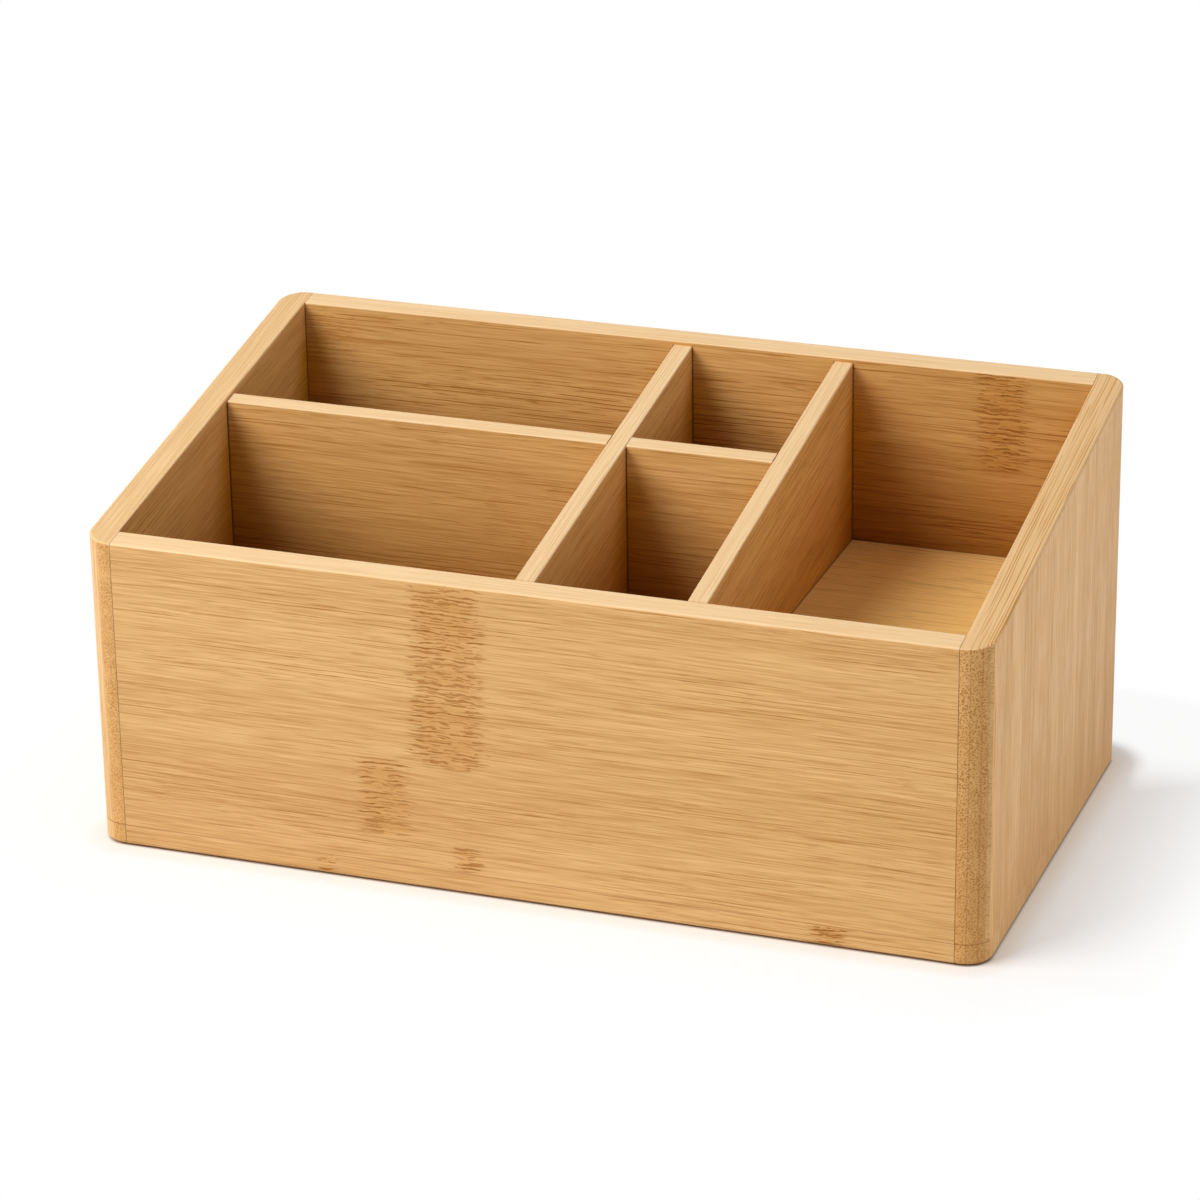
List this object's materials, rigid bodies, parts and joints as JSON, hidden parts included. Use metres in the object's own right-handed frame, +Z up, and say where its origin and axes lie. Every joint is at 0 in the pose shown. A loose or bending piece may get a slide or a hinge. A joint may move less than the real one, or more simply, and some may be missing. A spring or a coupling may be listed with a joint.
{
  "type": "slant-top desk organizer",
  "caption": "Open-topped bamboo desk organizer with a rim that slopes up to the back, divided compartments and a shallow raised tray on the right.",
  "frame": {"origin": "on the table, under the middle of the box's outside width and depth", "axes": "+X to the right along the width, +Y from the front to the taller back, +Z up"},
  "size_m": [0.3, 0.17, 0.1358],
  "materials": {
    "bamboo": "honey bamboo under a thin satin lacquer",
    "dowel_wood": "bare pale wood",
    "pad_rubber": "matte"
  },
  "bodies": {
    "root": {"side_panel_left": "bamboo", "side_panel_right": "bamboo", "front_panel": "bamboo", "back_panel": "bamboo", "base_board": "bamboo", "base_rail_left": "bamboo", "base_rail_right": "bamboo", "partition_left": "bamboo", "partition_right": "bamboo", "cross_divider": "bamboo", "tray_floor": "bamboo", "corner_dowels": "dowel_wood", "base_dowels": "dowel_wood", "foot_pads": "pad_rubber"}
  },
  "joints": []
}
